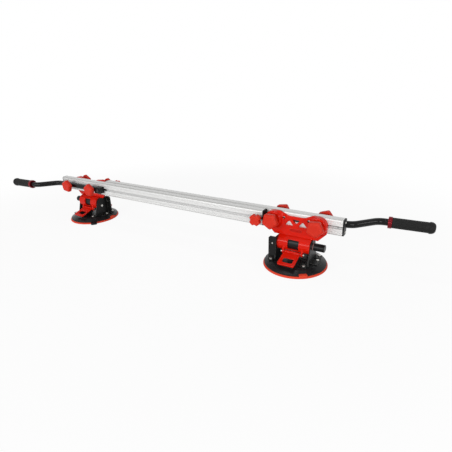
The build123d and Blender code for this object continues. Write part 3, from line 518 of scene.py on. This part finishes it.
def lock_knob():
    """Knob profile turned round its bolt; the reach is the soft smaller one, (a^-p + b^-p)^(-1/p), of a
    circle and of the near side of four notch circles, d cos(w) - root(n^2 - d^2 sin(w)^2) at w from a
    notch."""
    line = rounded([(0.0, LOCK_HEAD - LOCK_SKIN, 0.0), (LOCK_BORE, LOCK_HEAD - LOCK_SKIN, 0.0),
                    (LOCK_BORE, 0.0, 0.0), (LOCK_REACH, 0.0, 1.2),
                    (LOCK_REACH, LOCK_HEAD - LOCK_CHAMFER, 1.2),
                    (LOCK_REACH - LOCK_CHAMFER, LOCK_HEAD, 1.2), (HOLLOW_EDGE, LOCK_HEAD, 0.0),
                    (HOLLOW_FLOOR, LOCK_HEAD - HOLLOW_STEP, 0.5), (0.0, LOCK_HEAD - HOLLOW_DEPTH, 0.0)], 7)
    angle = circle(192)
    off = np.mod(angle + np.pi / 4, np.pi / 2) - np.pi / 4
    under = NOTCH_REACH ** 2 - (NOTCH_MIDDLE * np.sin(off)) ** 2
    notch = np.where(under > 0, NOTCH_MIDDLE * np.cos(off) - np.sqrt(np.clip(under, 0, None)), NO_NOTCH)
    outline = (LOCK_REACH ** -NOTCH_BLEND + notch ** -NOTCH_BLEND) ** (-1.0 / NOTCH_BLEND) / LOCK_REACH
    share = np.clip((line[:, :1] - HOLLOW_EDGE) / NOTCH_FADE, 0.0, 1.0)
    reach = line[:, :1] * (1.0 + share * (outline - 1.0))
    return np.stack([LOCK_X + reach * np.cos(angle), LOCK_FOOT + line[:, 1:] + 0 * angle,
                     BAR_MIDDLE + reach * np.sin(angle)], axis=-1)


for side in ("right", "left"):
    node = f"slide_lock_knob_{side}"
    fit("lock_knob", side, lock_knob(), red_plastic, node, "red_plastic", node)

# Pumps: a black moulded barrel with a push plunger, whose piston has a rubber ring and a return spring.
# A pale band near the root of the plunger shows when the vacuum falls and it creeps out.
PUMP_Y, PUMP_Z = 1.5, 70.0
BAND_PLACE, BAND_EDGE = 0.5255, (0.0012, 0.0018)
barrel_plastic, here = start("barrel_plastic")
pebble = grain(here, 1500.0, detail=2.0)
drawn = grain(here, 240.0, (0.05, 1.0, 1.0))
soft, edge = softened_edges(here, 0.0008)
shade = tint(drawn, (0.006, 0.0065, 0.007), (0.012, 0.0125, 0.013))
close(here, {
    "Base Color": tint(0.5 * edge, shade, (0.07, 0.07, 0.07)),
    "Roughness": 0.28 + 0.16 * drawn,
    "Specular IOR Level": 0.18,
    "Normal": bump(pebble, 0.00003, soft),
})
dress(barrel_plastic, "pump_barrel")

plunger_plastic, here = start("plunger_plastic")
band = 1.0 - abs(abs(here.axis("X")) - BAND_PLACE).ramp(*BAND_EDGE)
pebble = grain(here, 1500.0, detail=2.0)
drawn = grain(here, 240.0, (0.05, 1.0, 1.0))
soft, edge = softened_edges(here, 0.0008)
shade = tint(0.5 * edge, tint(drawn, (0.005, 0.005, 0.005), (0.010, 0.010, 0.011)), (0.07, 0.07, 0.07))
close(here, {
    "Base Color": tint(band, shade, (0.30, 0.17, 0.16)),
    "Roughness": 0.22 + 0.16 * drawn,
    "Specular IOR Level": 0.18,
    "Normal": bump(pebble, 0.00003, soft),
})
dress(plunger_plastic, "pump_plunger")

SEAL_X, SEAL_INNER, SEAL_OUTER, SEAL_HALF, SEAL_PINCH = 509.0, 13.7, 15.95, 1.35, 0.5
SPRING_START, SPRING_LENGTH, SPRING_REACH, WIRE_REACH, PUSH = 424.2, 79.6, 11.9, 0.95, 22.0
SPRING_TURNS, COIL_STEPS = 10, 24


def seal_ring():
    """Lip section, thick at the groove and pinched in the middle of the rim, turned round the pump axis."""
    line = rounded([(SEAL_INNER, -SEAL_HALF, 0.3), (SEAL_OUTER, -SEAL_HALF, 0.5),
                    (SEAL_OUTER - SEAL_PINCH, 0.0, 0.4), (SEAL_OUTER, SEAL_HALF, 0.5),
                    (SEAL_INNER, SEAL_HALF, 0.3)])
    return np.stack([SEAL_X + line[:, 1:] + 0 * turn_64, PUMP_Y + line[:, :1] * np.cos(turn_64),
                     PUMP_Z + line[:, :1] * np.sin(turn_64)], axis=-1)


def spring_coil():
    """Round wire carried along a helix; its radius falls to nothing at both cut ends, which closes them."""
    share = np.concatenate([[0.0], np.linspace(0.0, 1.0, COIL_STEPS * SPRING_TURNS), [1.0]])[:, None]
    wire = np.full(share.shape, WIRE_REACH)
    wire[[0, -1]] = 0.0
    coil = 2 * np.pi * SPRING_TURNS * share
    round_wire = circle(10)
    reach = SPRING_REACH + wire * np.cos(round_wire)
    run = SPRING_START + WIRE_REACH + (SPRING_LENGTH - 2 * WIRE_REACH) * share
    return np.stack([run + wire * np.sin(round_wire), PUMP_Y + reach * np.cos(coil),
                     PUMP_Z + reach * np.sin(coil)], axis=-1)


for side, way in (("right", 1.0), ("left", -1.0)):
    fit("seal_ring", side, seal_ring(), rubber, f"pump_plunger_{side}", "black_rubber",
        f"piston_seal_{side}", loop=True)
    spring = fit("spring_coil", side, spring_coil(), steel, f"{side}_frame", "steel",
                 f"return_spring_{side}")
    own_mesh(spring)

# Brackets: folded steel plate with a black powder coat, screwed to the cup plate at their feet.
# The coat is thin on the cut edges, where a line of bare steel shows.
powder, here = start("black_powder_coat")
peel = grain(here, 900.0, detail=2.0)
flow = grain(here, 50.0)
rubbed = grain(here, 500.0, detail=4.0).ramp(0.35, 0.60)
soft, edge = softened_edges(here, 0.0007)
shade = tint(flow, (0.005, 0.005, 0.005), (0.012, 0.012, 0.012))
close(here, {
    "Base Color": tint(0.2 * edge + 0.55 * edge * rubbed, shade, (0.34, 0.33, 0.31)),
    "Roughness": 0.30 + 0.14 * flow,
    "Specular IOR Level": 0.16,
    "Normal": bump(peel, 0.00005, soft),
})
dress(powder, "pump_bracket_near", "pump_bracket_far")
dress(steel, "bracket_screws")

# Cup plates: stiff black moulded discs, a low cone round a flat middle, with a notch for the tab of the pad.
# A tongue moulded on the rim, with a lip that hangs before the pad, is pulled to peel the cup off.
CUP = np.array([468.0, 1.5, 0.0])
PLATE_REACH, PLATE_FLAT, PLATE_FOOT, PLATE_EDGE, PLATE_TOP = 96.5, 75.5, 6.0, 9.0, 18.0
PLATE_RING = ((70.0, 0.0, 0.0), (69.4, 0.6, 0.3), (68.6, 0.6, 0.3), (68.0, 0.0, 0.0))
TAB_ANGLES = {"right": -54.0, "left": -170.0}
TAB_DEPTH, TAB_WIDTH, TAB_LOW, TAB_HIGH = 13.0, 25.0, 3.0, 11.0
TAB_GAP, TAB_SLANT, TAB_POWER = 0.3, 0.8, 0.3
TONGUE_ANGLES = {"right": 128.0, "left": 138.0}
TONGUE_END, TONGUE_WIDTH, TONGUE_TOP, TONGUE_POWER = 117.0, 24.0, 10.0, 0.3
LIP_START, LIP_FOOT, LIP_POWER = 101.0, 1.0, 0.4
PAD_REACH, PAD_LIP, PAD_SLOPE, PAD_HOLLOW = 100.0, 86.0, 3.0, 3.0
PAD_SIDE, PAD_TOP, PAD_THICKNESS = 3.0, 97.0, 6.0
GROOVE_STARTS, GROOVE_SHAPE = (89.0, 92.6, 96.2), ((0.0, 0.0), (0.7, 0.6), (1.4, 0.0))
disc = circle(720)

cup_plastic, here = start("cup_plate_plastic")
pebble = grain(here, 1300.0, detail=2.0)
flow = grain(here, 22.0)
# Pale patches at random: scuffs, whose lighter colour also serves as a painted sheen on the plate.
scuff_and_sheen = grain(here, 260.0, (1.0, 1.0, 0.3), 5.0).ramp(0.60, 0.72)
soft, edge = softened_edges(here, 0.0010)
shade = tint(flow, (0.006, 0.006, 0.0065), (0.015, 0.015, 0.016))
close(here, {
    "Base Color": tint(0.25 * scuff_and_sheen + 0.4 * edge, shade, (0.07, 0.069, 0.068)),
    "Roughness": 0.20 + 0.12 * flow + 0.1 * scuff_and_sheen,
    "Specular IOR Level": 0.13,
    "Normal": bump(pebble, 0.00004, soft),
})


def cup_plate(tab_angle):
    """Plate profile turned round the cup's axis; at the tab the rim is held inside a straight chord,
    so that a reach is the smaller of the profile's and chord / cos(angle from the tab)."""
    ring = [(reach, PLATE_TOP - depth, cut) for reach, depth, cut in PLATE_RING]
    line = rounded([(0.0, PLATE_FOOT, 0.0), (PLATE_REACH, PLATE_FOOT, 0.4), (PLATE_REACH, PLATE_EDGE, 0.9),
                    (PLATE_FLAT, PLATE_TOP, 3.0), *ring, (0.0, PLATE_TOP, 0.0)])
    off = disc - np.radians(tab_angle)
    across = PLATE_REACH * np.abs(np.sin(off)) - TAB_WIDTH / 2
    beside = np.clip(across / TAB_SLANT, 0.0, 1.0) + (np.cos(off) < 0)
    chord = (PAD_REACH - TAB_DEPTH - TAB_GAP) / np.clip(np.cos(off), 0.3, None)
    rim = np.where(beside >= 1.0, PLATE_REACH, chord + beside * (PLATE_REACH - chord))
    reach = np.minimum(line[:, :1], rim)
    return CUP + np.stack([reach * np.cos(disc), reach * np.sin(disc), line[:, 1:] + 0 * disc], axis=-1)


def squared(wave, power):
    """Sine or cosine with its size raised to a power: a small one squares a circle off."""
    return np.sign(wave) * np.abs(wave) ** power


def soft_block(angle, inner, outer, width, low, high, power):
    """Block with soft edges on the cup's rim: a ball whose sines and cosines are raised to a small power,
    laid along the reach, across it and up."""
    rise = np.linspace(-np.pi / 2, np.pi / 2, 33)[:, None]
    level, height = squared(np.cos(rise), power), squared(np.sin(rise), power)
    round_it = circle(96)
    out = (inner + outer) / 2 + (outer - inner) / 2 * level * squared(np.cos(round_it), power)
    across = width / 2 * level * squared(np.sin(round_it), power)
    up = (low + high) / 2 + (high - low) / 2 * height + 0 * round_it
    turn = np.radians(angle)
    return CUP + np.stack([out * np.cos(turn) - across * np.sin(turn),
                           out * np.sin(turn) + across * np.cos(turn), up], axis=-1)


for side in ("right", "left"):
    fit("plate_shell", side, cup_plate(TAB_ANGLES[side]), cup_plastic, f"{side}_frame", "black_plastic",
        f"cup_plate_{side}")
    turn = TONGUE_ANGLES[side]
    tongue = soft_block(turn, PLATE_FLAT, TONGUE_END, TONGUE_WIDTH, PLATE_FOOT, TONGUE_TOP, TONGUE_POWER)
    lip = soft_block(turn, LIP_START, TONGUE_END, TONGUE_WIDTH, LIP_FOOT, TONGUE_TOP, LIP_POWER)
    fit("plate_tongue", side, tongue, cup_plastic, f"{side}_frame", "black_plastic")
    fit("tongue_lip", side, lip, cup_plastic, f"{side}_frame", "black_plastic")

# Cup pads: red rubber discs bonded under the plates, with a sealing lip of three fine ridges.
# A tab stands up through the notch of the plate, to let the air in.
red_rubber, here = start("red_rubber")
skin = grain(here, 1500.0, detail=2.0)
dust = grain(here, 70.0)
soft, edge = softened_edges(here, 0.0010)
shade = tint(dust, (0.66, 0.045, 0.018), (0.76, 0.070, 0.030))
close(here, {
    "Base Color": tint(0.3 * edge, shade, (0.72, 0.12, 0.07)),
    "Roughness": 0.44 + 0.2 * dust,
    "Specular IOR Level": 0.18,
    "Normal": bump(skin, 0.00006, soft),
})


def cup_pad():
    """Pad profile turned round the cup's axis: hollow, lip with fine grooves, rounded rim and flat top."""
    ridges = [(place + step, rise, 0.2) for place in GROOVE_STARTS for step, rise in GROOVE_SHAPE]
    line = rounded([(0.0, PAD_HOLLOW, 0.0), (PAD_LIP - PAD_SLOPE, PAD_HOLLOW, 1.5), (PAD_LIP, 0.0, 0.6),
                    *ridges, (PAD_REACH, 0.0, 0.9), (PAD_REACH, PAD_SIDE, 1.2),
                    (PAD_TOP, PAD_THICKNESS, 1.2), (0.0, PAD_THICKNESS, 0.0)])
    reach, height = line[:, :1], line[:, 1:]
    return CUP + np.stack([reach * np.cos(disc), reach * np.sin(disc), height + 0 * disc], axis=-1)


for side in ("right", "left"):
    fit("pad_rubber", side, cup_pad(), red_rubber, f"{side}_frame", "red_rubber", f"cup_pad_{side}")
    tab = soft_block(TAB_ANGLES[side], PAD_REACH - TAB_DEPTH, PAD_REACH, TAB_WIDTH, TAB_LOW, TAB_HIGH,
                     TAB_POWER)
    fit("pad_tab", side, tab, red_rubber, f"{side}_frame", "red_rubber")

# Latch levers: cast trays with a raised rim and a finger hole, in the same red coat as the carriages.
# Each turns on a barrel round a plated pin, which is held in the ears of the carriage.
LEVER_SLOPE, LEVER_LENGTH, LEVER_ROOT, LEVER_TIP = np.radians(18.0), 60.0, 25.5, 26.5
LEVER_FLOOR, LEVER_RIM, LEVER_HEIGHT, LEVER_BACK, LEVER_POWER = 3.0, 3.0, 5.0, -1.0, 0.14
HOLE_NEAR, HOLE_FAR, HOLE_HALF_WIDTH, HOLE_POWER = 28.0, 48.0, 16.5, 0.3
HINGE_OUT, HINGE_Z, LEVER_BARREL, PIN_BORE = 24.0, 46.0, 5.2, 3.25


def lever_place(way, across, out, up):
    """Point of the right half from the lever's own across, out and up; way is -1 inside, 1 outside."""
    sine, cosine = np.sin(LEVER_SLOPE), np.cos(LEVER_SLOPE)
    return np.stack([CUP[0] + across, PUMP_Y + way * (HINGE_OUT + out * cosine + up * sine),
                     HINGE_Z - out * sine + up * cosine], axis=-1)


def lever_tray(way):
    """Closed section between three outlines, finger hole, foot of the rim and edge, each a soft square
    (signs of cosine and sine with a small power) that widens towards the tip; rows weigh the outlines."""
    turn = circle(240)

    def outline(near, far, half_near, half_far, power):
        out = (near + far) / 2 + (far - near) / 2 * squared(np.sin(turn), power)
        half = half_near + (half_far - half_near) * out / LEVER_LENGTH
        return np.stack([half * squared(np.cos(turn), power), out], axis=-1)

    hole = outline(HOLE_NEAR, HOLE_FAR, HOLE_HALF_WIDTH, HOLE_HALF_WIDTH, HOLE_POWER)
    foot = outline(LEVER_BACK + LEVER_RIM, LEVER_LENGTH - LEVER_RIM, LEVER_ROOT - LEVER_RIM,
                   LEVER_TIP - LEVER_RIM, LEVER_POWER)
    edge = outline(LEVER_BACK, LEVER_LENGTH, LEVER_ROOT, LEVER_TIP, LEVER_POWER)
    rows = rounded([(0.0, 0.0, 0.10), (0.0, LEVER_FLOOR, 0.05), (1.0, LEVER_FLOOR, 0.06),
                    (1.1, LEVER_HEIGHT, 0.10), (2.0, LEVER_HEIGHT, 0.30), (2.0, 0.0, 0.30)], 5)
    share, up = rows[:, :1, None], rows[:, 1:]
    near = hole + (foot - hole) * np.clip(share, 0.0, 1.0)
    flat = near + (edge - foot) * np.clip(share - 1.0, 0.0, 1.0)
    return lever_place(way, flat[..., 0], flat[..., 1], up + 0 * turn)


def lever_barrel(way):
    """Hinge barrel with a bore: a ring section with soft ends turned round the pin."""
    line = rounded([(PIN_BORE, -LEVER_ROOT, 0.3), (LEVER_BARREL, -LEVER_ROOT, 0.5),
                    (LEVER_BARREL, LEVER_ROOT, 0.5), (PIN_BORE, LEVER_ROOT, 0.3)])
    reach, across = line[:, :1], line[:, 1:]
    return lever_place(way, across + 0 * turn_64, reach * np.cos(turn_64), reach * np.sin(turn_64))


for side in ("right", "left"):
    for kind, way in (("inner", -1.0), ("outer", 1.0)):
        node = f"latch_lever_{kind}_{side}"
        fit(f"lever_tray_{kind}", side, lever_tray(way), red_coat, node, "red_paint", node, loop=True)
        fit(f"lever_barrel_{kind}", side, lever_barrel(way), red_coat, node, "red_paint", loop=True)
dress(steel, "latch_pins")

# Stage: a white floor that keeps the shadow near the object, and a white world behind it.
# Five soft lamps light the object, and the camera stands where the photo was taken.
FLOOR_HALF, FLOOR_DROP, FLOOR_SEEN, FLOOR_FADE = 30.0, 0.0005, 0.92, (0.7, 1.5)
AMBIENT, LAMP_AIM = 0.25, (0.0, 0.0, 0.1)
LAMPS = (
    ("key", (-0.5, -2.6, 0.9), 2.4, 0.25, 37.0),
    ("glint", (0.3, -1.0, 2.0), 0.7, 0.06, 5.0),
    ("fill", (2.2, -2.0, 0.8), 1.0, 0.6, 20.0),
    ("side", (2.6, -0.1, 1.0), 1.0, 0.3, 8.0),
    ("top", (0.0, 0.46, 2.2), 0.60, 0.15, 4.0),
)
CAMERA_PLACE, YAW, PITCH, ROLL = (0.836, -0.9743, 0.5519), -0.567, 0.388, -0.035
FOCUS_PIXELS, PHOTO_PIXELS, SENSOR = 364.88, 452.0, 36.0

floor_corners = [(x * FLOOR_HALF, y * FLOOR_HALF, 0.0) for x, y in ((-1, -1), (1, -1), (1, 1), (-1, 1))]
floor_mesh = bpy.data.meshes.new("floor")
floor_mesh.from_pydata(floor_corners, [], [(0, 1, 2, 3)])
floor = bpy.data.objects.new("floor", floor_mesh)
floor.location.z = -FLOOR_DROP
scene.collection.objects.link(floor)


def seen_rays(here):
    """1 for the rays that look straight at a surface, or at it in a mirror or through glass."""
    rays = ("Is Camera Ray", "Is Glossy Ray", "Is Transmission Ray")
    camera_ray, glossy, through = [here.node("ShaderNodeLightPath", {}, {}, ray) for ray in rays]
    return camera_ray + glossy + through


floor_paint, here = start("floor_paint")
chalk = here.node("ShaderNodeBsdfDiffuse", {}, {"Color": (0.86, 0.86, 0.86, 1.0)})
glow = here.node("ShaderNodeEmission", {}, {"Color": (1.0, 1.0, 1.0, 1.0), "Strength": 1.0})
distance = here.node("ShaderNodeVectorMath", {"operation": "LENGTH"}, {0: here}, "Value")
white = FLOOR_SEEN + (1.0 - FLOOR_SEEN) * distance.ramp(*FLOOR_FADE)
both = here.node("ShaderNodeMixShader", {}, {0: white * seen_rays(here), 1: chalk, 2: glow})
here.node("ShaderNodeOutputMaterial", {"target": "ALL"}, {"Surface": both}, None)
floor_mesh.materials.append(floor_paint)

scene.view_settings.view_transform = "Standard"
world = bpy.data.worlds.new("studio")
scene.world = world
world.use_nodes = True
world.node_tree.nodes.clear()
sky = Wire(world.node_tree)
level = sky.math("MAXIMUM", seen_rays(sky), AMBIENT)
back = sky.node("ShaderNodeBackground", {}, {"Color": (1.0, 1.0, 1.0, 1.0), "Strength": level})
sky.node("ShaderNodeOutputWorld", {}, {"Surface": back}, None)

for name, place, width, height, watts in LAMPS:
    lamp = bpy.data.lights.new(name, "AREA")
    lamp.shape = "RECTANGLE"
    lamp.size = width
    lamp.size_y = height
    lamp.energy = watts
    holder = bpy.data.objects.new(name, lamp)
    holder.location = place
    holder.rotation_euler = (Vector(LAMP_AIM) - Vector(place)).to_track_quat("-Z", "Y").to_euler()
    scene.collection.objects.link(holder)

ahead = Vector((np.sin(YAW) * np.cos(PITCH), np.cos(YAW) * np.cos(PITCH), -np.sin(PITCH)))
level_right = Vector((np.cos(YAW), -np.sin(YAW), 0.0))
level_up = level_right.cross(ahead)
right = np.cos(ROLL) * level_right + np.sin(ROLL) * level_up
up = np.cos(ROLL) * level_up - np.sin(ROLL) * level_right
lens = bpy.data.cameras.new("photo_camera")
lens.sensor_width = SENSOR
lens.lens = FOCUS_PIXELS / PHOTO_PIXELS * SENSOR
camera = bpy.data.objects.new("photo_camera", lens)
camera.matrix_world = Matrix.Translation(CAMERA_PLACE) @ Matrix((right, up, -ahead)).transposed().to_4x4()
scene.collection.objects.link(camera)
scene.camera = camera
